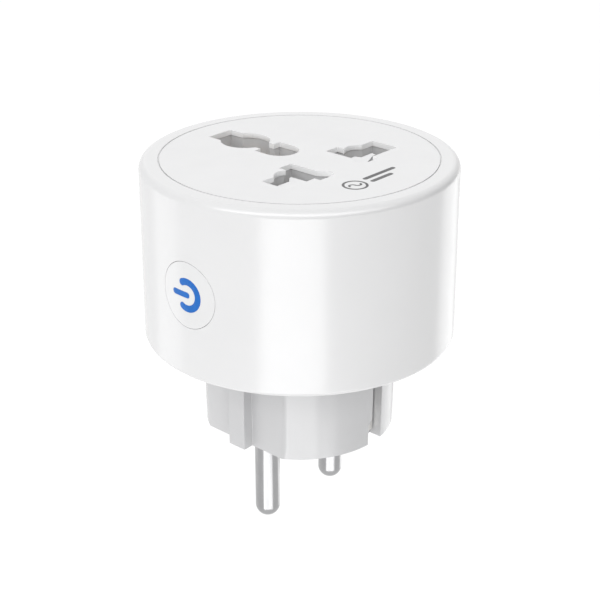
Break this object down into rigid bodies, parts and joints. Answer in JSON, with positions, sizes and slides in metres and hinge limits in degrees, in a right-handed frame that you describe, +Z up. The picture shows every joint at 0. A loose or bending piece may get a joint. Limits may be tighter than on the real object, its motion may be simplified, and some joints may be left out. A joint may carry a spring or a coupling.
{
  "type": "smart plug",
  "caption": "Round smart plug with an earthed pin plug nose below, a shuttered multi-standard socket on top, a push button on the side, and its mains and radio boards inside.",
  "frame": {"origin": "centre of the bounding box at the level of the plug pin tips, on the axis of the round body", "axes": "+Z up from the pins to the socket face, X along the line of the two pins with the button at -X, +Y towards the socket's earth hole"},
  "size_m": [0.0588, 0.0588, 0.0721],
  "materials": {
    "shell_white": "smooth glossy",
    "face_white": "fine satin",
    "print_grey": "pad-printed ink",
    "nose_white": "satin",
    "pin_nickel": "polished nickel",
    "earth_metal": "nickel-plated strip",
    "contact_brass": "bright stamped",
    "carrier_plastic": "moulded",
    "screw_steel": "zinc",
    "shutter_white": "moulded",
    "spring_steel": "drawn wire",
    "button_white": "smooth",
    "symbol_blue": "tinted light guide",
    "board_green": "solder mask",
    "board_blue": "solder mask",
    "switch_grey": "moulded",
    "black_plastic": "moulded",
    "led_resin": "clear resin",
    "relay_blue": "moulded case",
    "film_yellow": "moulded case",
    "can_sleeve": "shrink sleeve",
    "ferrite": "ferrite",
    "varistor_blue": "dipped epoxy",
    "fuse_brown": "moulded case",
    "shunt_alloy": "stamped alloy",
    "shield_tin": "tinned can"
  },
  "bodies": {
    "case": {"housing": "shell_white", "socket_face": "face_white", "face_mark": "print_grey", "base_cover": "nose_white", "pin_line": "pin_nickel", "pin_neutral": "pin_nickel", "earth_strip": "earth_metal", "contact_line": "contact_brass", "contact_neutral": "contact_brass", "contact_earth": "contact_brass", "contact_carrier": "carrier_plastic", "aperture_plate": "carrier_plastic", "carrier_screws": "screw_steel", "shutter_spring": "spring_steel", "button_board": "board_green", "switch_body": "switch_grey", "status_led": "led_resin", "main_board": "board_green", "board_screws": "screw_steel", "relay": "relay_blue", "film_capacitor": "film_yellow", "bulk_capacitors": "can_sleeve", "line_choke": "ferrite", "supply_inductor": "black_plastic", "varistor": "varistor_blue", "fuse": "fuse_brown", "rectifier": "black_plastic", "meter_chip": "black_plastic", "current_shunt": "shunt_alloy", "radio_board": "board_blue", "radio_shield": "shield_tin"},
    "safety_shutter": {"shutter": "shutter_white"},
    "button": {"button_cap": "button_white", "light_guide": "symbol_blue"},
    "plunger": {"switch_plunger": "black_plastic"}
  },
  "joints": [
    {"name": "shutter_slide", "type": "slide", "parent": "case", "child": "safety_shutter", "axis": [0, -1, 0], "range_m": [0, 0.0062], "stiffness_N_per_m": 60, "springref_m": -0.003, "deforming": ["shutter_spring"]},
    {"name": "button_press", "type": "slide", "parent": "case", "child": "button", "axis": [1, 0, 0], "range_m": [0, 0.0005], "stiffness_N_per_m": 1500, "springref_m": -0.0004},
    {"name": "plunger_press", "type": "slide", "parent": "case", "child": "plunger", "axis": [1, 0, 0], "range_m": [0, 0.00025]}
  ],
  "couplings": [
    {"joint": "plunger_press", "follows": "button_press", "ratio": 0.5}
  ]
}
